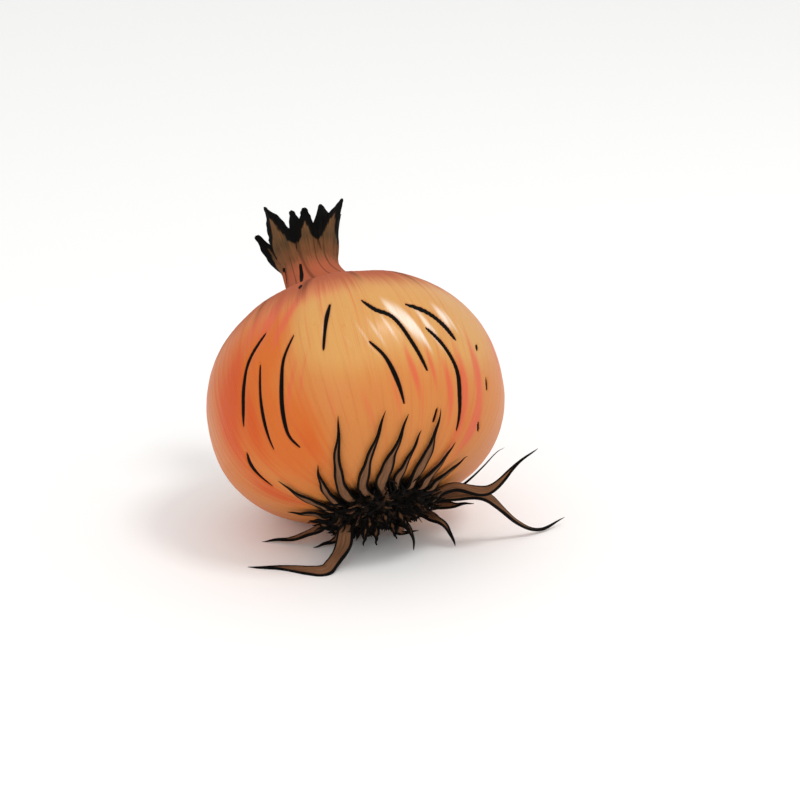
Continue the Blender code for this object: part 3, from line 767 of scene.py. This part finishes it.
def make_root_plate(material):
    """The plate's outline turned round the axis, its face covered in warty lumps and its rim furrowed."""
    columns = 180
    bevel = 0.5
    back = np.array([(0.3, PLATE_TOP), (PLATE_RADIUS - bevel, PLATE_TOP)])
    rim = np.array([(PLATE_RADIUS, PLATE_TOP - bevel), (PLATE_RADIUS, PLATE_TOP - PLATE_EDGE)])
    reach = np.linspace(PLATE_RADIUS * 0.98, 0.2, 60)
    face = np.stack([reach, plate_height(reach)], axis=-1)
    outline = np.concatenate([evenly(back, 5), evenly(rim, 8), evenly(face, 40)])
    turned = np.linspace(0.0, TURN, columns, endpoint=False)
    radius, longitude = np.meshgrid(outline[:, 0], turned, indexing="ij")
    height = np.repeat(outline[:, 1:], columns, axis=1)
    x, y = radius * np.cos(longitude), radius * np.sin(longitude)
    lumps = np.sin(1.3 * x + 0.7 * np.sin(0.9 * y)) * np.sin(1.2 * y + 0.8 * np.sin(1.1 * x + 1.0))
    lumps = lumps + 0.6 * np.sin(2.7 * x + 1.9 * y) * np.sin(2.9 * y - 1.4 * x)
    on_face = soft_step(PLATE_TOP - 0.2, PLATE_TOP - 1.2, height)
    furrows = pleats(longitude, height, 38, 6) - 0.6
    radius = radius + 0.35 * on_face * furrows * soft_step(0.6 * PLATE_RADIUS, PLATE_RADIUS, radius)
    drop = on_face * 0.45 * lumps * soft_step(PLATE_RADIUS, 0.85 * PLATE_RADIUS, radius)
    points = lay_down(round_points(radius, height - drop, longitude))
    points[..., 2] = np.maximum(points[..., 2], 0.1)
    mesh = loft_one("root_plate", points, {"lump": lumps})
    return add_piece("corky_root_plate", mesh, material, ["root_plate"])


def ribbon_rings(path, wide, deep, facing, groove, around):
    """Cross-sections along a path, square to it: ovals wide across and deep along facing, with a furrow
    down the middle of each flat side: deep * sin(angle) * (1 - groove * sin^2(angle)^3)."""
    tangent = unit(np.gradient(path, axis=-2))
    across = unit(np.cross(tangent, facing))
    front = np.cross(across, tangent)
    angle = TURN * np.arange(around) / around
    x = wide[..., None] * np.cos(angle)
    y = deep[..., None] * np.sin(angle) * (1.0 - groove * np.sin(angle) ** 6)
    return path[..., None, :] + x[..., None] * across[..., None, :] + y[..., None] * front[..., None, :]


def root_radius(thickness, share):
    return np.maximum(ROOT_TIP, thickness * (1.0 - ROOT_TAPER * share**1.3))


def face_foot(ring, longitude, lead=ROOT_LEAD):
    """A place on the plate's face and the point straight out of it, square to the dome."""
    radius = ring * PLATE_RADIUS
    around = round_axis(1.0, longitude, 0.0)
    out = unit(np.array([0.0, 0.0, -1.0]) + 2.0 * PLATE_DOME * radius / PLATE_RADIUS**2 * around)
    surface = radius * around + np.array([0.0, 0.0, plate_height(radius)])
    return surface + CLEARANCE * out, surface + lead * out


def rim_foot(longitude, thickness):
    around = round_axis(1.0, longitude, 0.0)
    surface = PLATE_RADIUS * around + np.array([0.0, 0.0, PLATE_TOP - max(thickness, 0.5 * PLATE_EDGE)])
    return surface + CLEARANCE * around, surface + ROOT_LEAD * around


def base_point(radius, longitude, lift):
    """A point on the bulb's lower surface, lifted along the surface's normal."""
    step = 0.05
    slope = (base_height(radius + step) - base_height(radius - step)) / (2.0 * step)
    out = unit(np.array([slope, -1.0]))
    around = round_axis(1.0, longitude, 0.0)
    return bulb_points(radius, base_height(radius), longitude) + lift * (
        out[0] * around + np.array([0.0, 0.0, out[1]])
    )


def clinging_points(root):
    points = list(rim_foot(np.radians(root.longitude), root.thickness))
    start = PLATE_RADIUS + 2.0 * ROOT_LEAD
    spans = 5
    for span in range(spans + 1):
        share = span / spans
        reached = np.sin(0.5 * np.pi * share)
        radius = start + (root.tip_radius - start) * reached
        longitude = np.radians(root.longitude + (root.tip_longitude - root.longitude) * reached)
        resting = root_radius(root.thickness, (span + 2) / (spans + 2)) + CLEARANCE
        points.append(base_point(radius, longitude, resting + root.lift * share**3))
    return lay_down(np.array(points))


def trailing_points(root):
    longitude = np.radians(root.longitude)
    feet = rim_foot(longitude, root.thickness) if root.place == "rim" else face_foot(OUTER_RING, longitude)
    foot, lead = lay_down(np.array(feet))
    under_foot = np.array([foot[0], foot[1], 0.0])
    return np.array([foot, lead, *(under_foot + np.array(root.points))])


def tuft_points(number):
    longitude = TURN * number / TUFT_ROOTS
    foot, lead = face_foot(INNER_RING, longitude, 0.4 * TUFT_LENGTH)
    outwards = round_axis(1.0, longitude, 0.0)
    length = TUFT_LENGTH * (1.0 + 0.25 * np.cos(2.3 * number))
    tip = lead + 0.6 * length * np.array([0.0, 0.0, -1.0]) + 0.25 * length * outwards
    points = lay_down(np.array([foot, lead, tip]))
    points[-1, 2] -= 0.15 * length
    return points


def make_root(name, points, thickness, facing, seed, material):
    """A shrivelled root: a furrowed ribbon along a smooth route, widest a third of the way, wavering a
    little, twisting, and thinning to a point. Where it would sink into the floor it lies on it."""
    path = evenly(smooth_line(points, ROUTE_STEPS), ROUTE_ROWS)
    share = np.linspace(0.0, 1.0, len(path))
    random = np.random.default_rng(seed)
    phases = random.uniform(0.0, TURN, 4)
    body = root_radius(thickness, share)
    swell = 1.0 + 0.12 * np.cos(9.0 * share + phases[0]) + 0.06 * np.cos(23.0 * share + phases[1])
    point = np.sqrt(np.clip(1.0 - share**6, 0.02, 1.0))
    wide = body * RIBBON_WIDTH * swell * point * (0.8 + 0.35 * np.sin(np.pi * np.clip(share * 1.4, 0.0, 1.0)))
    deep = body * RIBBON_DEPTH * (2.0 - swell) * point
    tangent = unit(np.gradient(path, axis=0))
    twist = 0.25 * np.sin(6.0 * share + phases[2])[:, None] * np.array([0.5, 0.3, 0.2])
    facing = unit(np.broadcast_to(facing, path.shape) + twist)
    across = unit(np.cross(tangent, facing))
    path = path + (0.18 * thickness * np.sin(17.0 * share + phases[3]) * share)[:, None] * across
    path[:, 2] = np.maximum(path[:, 2], deep)
    rings = ribbon_rings(path, wide, deep, facing, RIBBON_GROOVE, ROOT_AROUND)
    rings[..., 2] = np.maximum(rings[..., 2], 0.02)
    angle = TURN * np.arange(ROOT_AROUND) / ROOT_AROUND
    # how far round the ribbon each point is from its edge; the material paints the edges near black as shade
    margin = wide[:, None] * (1.0 - np.abs(np.cos(angle)))
    fields = {
        "margin": margin,
        "share": share[:, None],
        "grain": round_axis(4.0, angle, ROOT_GRAIN * share[:, None] + seed),
    }
    mesh = loft_one(name, rings, fields)
    return add_piece("dry_" + name, mesh, material, [name])


def make_roots(material):
    towards_viewer = np.array([0.0, -0.5, 0.85])
    middle = lay_down(np.zeros(3))
    for number, root in enumerate(CLINGING_ROOTS, start=1):
        points = clinging_points(root)
        outwards = evenly(smooth_line(points, ROUTE_STEPS), ROUTE_ROWS) - middle
        make_root(f"root_clinging_{number:02d}", points, root.thickness, unit(outwards), number, material)
    for number, root in enumerate(TRAILING_ROOTS, start=20):
        make_root(root.name, trailing_points(root), root.thickness, towards_viewer, number, material)
    for number in range(TUFT_ROOTS):
        name = f"root_tuft_{number + 1:02d}"
        thickness = TUFT_SHRUNK * TUFT_THICKNESS
        make_root(name, tuft_points(number), thickness, towards_viewer, 50 + number, material)


def make_root_mat(material):
    """The felt of short broken rootlets round the plate. Each starts on the plate's face or rim, grows
    out square to it, spreads and curls: start + length * (out * t + spread * t^2 + curl * sin)."""
    random = np.random.default_rng(21)
    rows, around = 8, 5
    count = MAT_ROOTLETS
    ring = np.sqrt(random.uniform(0.05, 1.08, count))
    longitude = random.uniform(0.0, TURN, count)
    radius = PLATE_RADIUS * np.minimum(ring, 0.98)
    outwards = round_axis(1.0, longitude, 0.0)
    sideways = round_axis(1.0, longitude + 0.25 * TURN, 0.0)
    down = np.array([0.0, 0.0, -1.0])
    at_rim = soft_step(0.75, 1.0, ring)[:, None]
    start = radius[:, None] * outwards
    below_rim = PLATE_TOP - random.uniform(0.6, PLATE_EDGE, count)
    start[:, 2] = np.where(ring > 0.98, below_rim, plate_height(radius) + 0.3)
    crushed = CRUSHED_SHARE * np.exp(-(((longitude - CRUSHED_LONGITUDE) / CRUSHED_WIDTH) ** 2))
    length = random.uniform(*MAT_LENGTH, count) * (0.9 + 0.35 * at_rim[:, 0]) * (1.0 - crushed)
    out = unit((1.0 - at_rim) * down + (0.25 + at_rim) * outwards + random.normal(0.0, 0.25, (count, 3)))
    spread = 0.45 * outwards + random.normal(0.0, 0.35, (count, 1)) * sideways - 0.25 * at_rim * down
    curl = random.normal(0.0, 0.10, (count, 1)) * sideways + random.normal(0.0, 0.08, (count, 1)) * down
    t = np.linspace(0.0, 1.0, rows)[None, :, None]
    waves = curl[:, None] * np.sin(MAT_WAVES * t + longitude[:, None, None])
    way = out[:, None] * t + spread[:, None] * t**2 + waves
    path = start[:, None] + length[:, None, None] * way
    reach = np.linalg.norm(path[..., :2], axis=-1)
    clear = np.where(reach > PLATE_RADIUS, base_height(reach) - 0.7, PLATE_TOP)
    path[..., 2] = np.minimum(path[..., 2], clear)
    path = lay_down(path)
    thickness = random.uniform(*MAT_THICKNESS, count)[:, None] * (1.0 - 0.85 * t[..., 0] ** 1.5)
    path[..., 2] = np.maximum(path[..., 2], thickness)
    facing = unit(np.array([0.3, -0.6, 0.5]) + random.normal(0.0, 0.2, (count, 1, 3)))
    rings = ribbon_rings(path, thickness * 1.2, thickness * 0.7, facing + np.zeros_like(path), 0.0, around)
    tone = np.broadcast_to(random.uniform(0.0, 1.0, (count, 1, 1)), rings.shape[:3])
    share = np.broadcast_to(t, rings.shape[:3])
    mesh = loft_mesh("root_mat", rings, {"tone": tone, "share": share})
    return add_piece("root_mat", mesh, material, [])


# --- materials ---


def linear(hex_colour):
    """A hex colour as linear RGBA, by the sRGB curve."""
    values = np.array([int(hex_colour[place : place + 2], 16) / 255.0 for place in (1, 3, 5)])
    values = np.where(values <= 0.04045, values / 12.92, ((values + 0.055) / 1.055) ** 2.4)
    return (*values.tolist(), 1.0)


PAINT = {name: linear(value) for name, value in COLOURS.items()}


class Value:
    """A node's output. Arithmetic on it adds Math nodes to its material."""

    def __init__(self, look, output):
        self.look = look
        self.output = output

    def math(self, operation, *others, clamp=False):
        sockets = {place: value for place, value in enumerate((self, *others))}
        return self.look.node("Math", {"operation": operation, "use_clamp": clamp}, sockets)

    def __add__(self, other):
        return self.math("ADD", other)

    def __sub__(self, other):
        return self.math("SUBTRACT", other)

    def __mul__(self, other):
        return self.math("MULTIPLY", other)

    def __rsub__(self, other):
        return self.look.node("Math", {"operation": "SUBTRACT"}, {0: other, 1: self})

    __radd__ = __add__
    __rmul__ = __mul__

    def clamp(self):
        return self.math("ADD", 0.0, clamp=True)

    def soft(self, low, high):
        """0 at low, 1 at high, with an even S between them. low may be the larger one."""
        sockets = {"Value": self, "From Min": low, "From Max": high}
        return self.look.node("MapRange", {"interpolation_type": "SMOOTHSTEP"}, sockets)


class Look:
    """A material being built round one Principled shader."""

    def __init__(self, name, **constants):
        self.material = bpy.data.materials.new(name)
        self.material.use_nodes = True
        self.tree = self.material.node_tree
        self.shader = self.tree.nodes["Principled BSDF"]
        for socket, value in constants.items():
            self.shader.inputs[socket.replace("_", " ").title().replace("Ior", "IOR")].default_value = value

    def node(self, kind, settings=None, sockets=None, output=0):
        """Adds a node, gives it its settings, then its sockets' values or links, and returns one output."""
        made = self.tree.nodes.new("ShaderNode" + kind)
        for name, value in (settings or {}).items():
            setattr(made, name, value)
        for place, value in (sockets or {}).items():
            self.feed(made.inputs[place], value)
        return Value(self, made.outputs[output])

    def feed(self, socket, value):
        if isinstance(value, Value):
            self.tree.links.new(value.output, socket)
        else:
            socket.default_value = value

    def field(self, name, output="Fac"):
        return self.node("Attribute", {"attribute_name": name}, output=output)

    def noise(self, vector, scale, detail=3.0, roughness=0.5):
        sockets = {"Vector": vector, "Scale": scale, "Detail": detail, "Roughness": roughness}
        return self.node("TexNoise", {}, sockets)

    def streaks(self, grain, squeeze, scale, detail=3.0, roughness=0.5):
        """Noise that is 1 / squeeze times longer along the grain than across it."""
        factors = (1.0, 1.0, squeeze)
        drawn_out = self.node("VectorMath", {"operation": "MULTIPLY"}, {0: grain, 1: factors})
        return self.noise(drawn_out, scale, detail, roughness)

    def mix(self, share, first, second):
        """The colour first, taken towards second by share."""
        settings = {"data_type": "RGBA", "clamp_factor": True}
        return self.node("Mix", settings, {0: share, 6: first, 7: second}, output=2)

    def finish(self, colour, roughness, height, depth):
        """Feeds the colour, the roughness and a bump of this depth in millimetres to the shader."""
        self.feed(self.shader.inputs["Base Color"], colour)
        self.feed(self.shader.inputs["Roughness"], roughness)
        bump = self.node("Bump", {}, {"Strength": 1.0, "Distance": depth * MM, "Height": height})
        self.feed(self.shader.inputs["Normal"], bump)
        return self.material


def withered(look, grain, rise, fold):
    """The colour of the neck and of the leaf ends' feet: from red at the shoulder through tan to a dark
    olive brown at the rim, streaked along the folds, and painted shade darkening the folds' valleys."""
    streak = look.streaks(grain, 0.06, 0.5, 4.0, 0.6)
    level = rise + 9.0 * (streak - 0.5)
    colour = look.mix(level.soft(35.0, 40.5), PAINT["neck_red"], PAINT["neck_tan"])
    colour = look.mix(level.soft(40.5, 45.5), colour, PAINT["neck_olive"])
    # Painted shade: the valleys of the neck's folds are painted half way to near black.
    return look.mix((1.0 - fold).soft(0.6, 1.0) * 0.5, colour, PAINT["painted_shade_black"])


def skin_material():
    look = Look("dry_skin", specular_ior_level=0.12, coat_roughness=0.22)
    grain = look.field("grain", "Vector")
    rise, fold, near_root = look.field("rise"), look.field("fold"), look.field("near_root")
    wide = look.streaks(grain, 0.05, 0.16, 3.0, 0.5)
    fine = look.streaks(grain, 0.03, 0.9, 4.0, 0.6)
    hair = look.streaks(grain, 0.02, 3.2, 2.0, 0.5)
    fleck = look.streaks(grain, 0.5, 0.8, 3.0, 0.6)
    streaky = (wide - 0.5) * 1.4 + (fine - 0.5) * 0.9

    gold = look.field("gold")
    colour = look.mix((gold * 1.2 + streaky * 0.45).soft(0.1, 0.9), PAINT["amber"], PAINT["gold"])
    colour = look.mix((look.field("orange") + streaky * 0.5).soft(0.0, 0.8), colour, PAINT["orange"])
    ember = (look.field("ember") + streaky * 0.8 - 0.05).soft(0.0, 0.9)
    colour = look.mix(ember * 0.9, colour, PAINT["ember"])
    colour = look.mix((look.field("rose") + streaky * 0.5).soft(0.1, 0.9) * 0.9, colour, PAINT["rose"])
    colour = look.mix(fine.soft(0.56, 0.70) * 0.25, colour, PAINT["rose"])
    # Painted highlight: pale gloss streaks painted over the skin's colour, broken up by the fine streaks.
    colour = look.mix(look.field("painted_highlight").soft(0.15, 1.0) * (0.4 + fine * 0.6), colour, PAINT["painted_highlight"])
    colour = look.mix(look.field("vein") * hair.soft(0.4, 0.7) * 0.3, colour, PAINT["vein"])
    colour = look.mix(fleck.soft(0.62, 0.8) * 0.2, colour, PAINT["vein"])
    withering = (rise + streaky * 9.0 - gold * 4.0).soft(12.5, 24.0)
    colour = look.mix(withering, colour, withered(look, grain, rise, fold))
    colour = look.mix((near_root + streaky * 0.4).soft(0.2, 1.0) * 0.7, colour, PAINT["stain"])
    # Painted shade: the skin right beside the root plate is painted near black.
    colour = look.mix((near_root + fine * 0.3).soft(0.9, 1.2), colour, PAINT["painted_shade_black"])
    # Painted shade: the creases' grooves and the neck's hollow are painted near black, each crease with a
    # faint vein-coloured band round it.
    gap = look.field("crease_across").math("ABSOLUTE") - look.field("crease_half")
    crease = gap.soft(0.10, -0.10)
    colour = look.mix(gap.soft(0.5, 0.0) * 0.3, colour, PAINT["vein"])
    colour = look.mix(crease.math("MAXIMUM", look.field("hollow")), colour, PAINT["painted_shade_black"])
    matt = (withering + near_root + crease).clamp()
    wax = 0.06 + fine * 0.08 + gold * 0.2
    look.feed(look.shader.inputs["Coat Weight"], (1.0 - matt) * wax)
    roughness = (0.42 + (fine - 0.5) * 0.25 + matt * 0.4).clamp()
    return look.finish(colour, roughness, hair * 0.7 + fine * 0.6 + fleck * 0.4, 0.16)


def leaf_material():
    look = Look("dry_leaf", specular_ior_level=0.1)
    grain = look.field("grain", "Vector")
    fibre = look.streaks(grain, 0.05, 1.6, 3.0, 0.6)
    colour = look.mix(fibre.soft(0.35, 0.7), PAINT["leaf_brown"], PAINT["leaf_pale"])
    foot = withered(look, grain, look.field("rise"), look.field("fold"))
    colour = look.mix(look.field("rise").soft(43.0, 47.0), foot, colour)
    blotch = look.noise(grain, 0.5, 3.0)
    edge = look.field("margin") + (blotch - 0.5) * 0.5
    # Painted shade: the blade's margins are painted near black.
    colour = look.mix(edge.soft(1.15, 0.85), colour, PAINT["painted_shade_black"])
    # Painted shade: the blade's inner side is painted near black.
    colour = look.mix(look.field("inner").soft(0.1, 0.9), colour, PAINT["painted_shade_black"])
    return look.finish(colour, 0.8 + (fibre - 0.5) * 0.3, fibre, 0.25)


def root_material():
    look = Look("dry_root", specular_ior_level=0.1)
    grain = look.field("grain", "Vector")
    fibre = look.streaks(grain, 0.12, 1.2, 3.0, 0.6)
    colour = look.mix(fibre.soft(0.35, 0.7), PAINT["root_brown"], PAINT["root_pale"])
    edge = look.field("margin") + (fibre - 0.5) * 0.35
    # Painted shade: the ribbon's edges are painted near black, its flat faces left brown.
    colour = look.mix(edge.soft(0.74, 0.50), colour, PAINT["painted_shade_black"])
    # Each root also darkens to the same near black towards its far end.
    colour = look.mix((look.field("share") + (fibre - 0.5) * 0.1).soft(0.74, 0.9), colour, PAINT["painted_shade_black"])
    return look.finish(colour, 0.8 + (fibre - 0.5) * 0.2, fibre, 0.25)


def plate_material():
    look = Look("root_plate", specular_ior_level=0.1)
    place = look.node("TexCoord", output="Object")
    cork = look.noise(place, 900.0, 4.0, 0.6)
    share = (look.field("lump") * 0.25 + cork * 0.9).soft(0.3, 0.9)
    colour = look.mix(share, PAINT["plate_dark"], PAINT["plate_brown"])
    return look.finish(colour, 0.85 + (cork - 0.5) * 0.2, cork, 0.5)


def mat_material():
    look = Look("root_felt", specular_ior_level=0.1)
    place = look.node("TexCoord", output="Object")
    dust = look.noise(place, 1500.0, 2.0, 0.5)
    brown = look.mix(dust.soft(0.35, 0.7), PAINT["plate_brown"], PAINT["root_brown"])
    tone = (look.field("tone") + look.field("share") * 0.1).soft(0.88, 0.94)
    colour = look.mix(tone, PAINT["plate_dark"], brown)
    return look.finish(colour, 0.85 + (dust - 0.5) * 0.2, dust, 0.2)


def floor_material():
    look = Look("pale_floor")
    place = look.node("TexCoord", output="Object")
    grain = look.noise(place, 60.0, 3.0, 0.5)
    colour = look.mix(grain * 0.02, PAINT["floor"], (0.8, 0.8, 0.8, 1.0))
    return look.finish(colour, 0.7 + grain * 0.1, grain, 0.02)


# --- studio ---


def add_floor(material):
    half = 4.0
    mesh = bpy.data.meshes.new("floor")
    corners = [(-half, -half, 0.0), (half, -half, 0.0), (half, half, 0.0), (-half, half, 0.0)]
    mesh.from_pydata(corners, [], [(0, 1, 2, 3)])
    mesh.materials.append(material)
    floor = bpy.data.objects.new("floor", mesh)
    bpy.context.scene.collection.objects.link(floor)


def add_light(name, place, size, power, colour):
    data = bpy.data.lights.new(name, "AREA")
    data.size = size
    data.energy = power
    data.color = colour
    lamp = bpy.data.objects.new(name, data)
    bpy.context.scene.collection.objects.link(lamp)
    aim = np.array([0.0, 0.0, 0.03])
    away = unit(np.array(place) - aim)
    side = unit(np.cross([0.0, 0.0, 1.0], away))
    axes = np.stack([side, np.cross(away, side), away], axis=-1)
    lamp.matrix_world = Matrix([[*row, at] for row, at in zip(axes, place)] + [[0.0, 0.0, 0.0, 1.0]])


def add_studio():
    world = bpy.data.worlds.new("studio")
    world.use_nodes = True
    back = world.node_tree.nodes["Background"]
    back.inputs["Color"].default_value = (1.0, 1.0, 1.0, 1.0)
    back.inputs["Strength"].default_value = 0.86
    bpy.context.scene.world = world
    add_light("key", (0.36, -0.16, 0.85), 0.22, 2.2, (1.0, 0.99, 0.97))
    add_light("fill", (-0.25, -1.1, 0.3), 0.8, 2.2, (1.0, 0.99, 0.98))
    bpy.context.scene.view_settings.view_transform = "Standard"


def add_camera():
    """Looks down by 20 degrees through a 100 mm lens, a little to the right of the bulb's middle."""
    down = np.radians(20.0)
    away = 568.0
    aim = LYING_PLACE + np.array([11.5, 0.0, 0.0])
    place = aim + away * np.array([0.0, -np.cos(down), np.sin(down)])
    data = bpy.data.cameras.new("camera")
    data.lens = 100.0
    data.clip_start = 0.05
    camera = bpy.data.objects.new("camera", data)
    camera.location = place * MM
    camera.rotation_euler = (0.5 * np.pi - down, 0.0, 0.0)
    bpy.context.scene.collection.objects.link(camera)
    bpy.context.scene.camera = camera


def main():
    add_camera()
    add_studio()
    add_floor(floor_material())
    make_skin(skin_material())
    leaf = leaf_material()
    for number, blade in enumerate(LEAVES):
        make_leaf(blade, number, leaf)
    make_root_plate(plate_material())
    make_root_mat(mat_material())
    make_roots(root_material())


main()
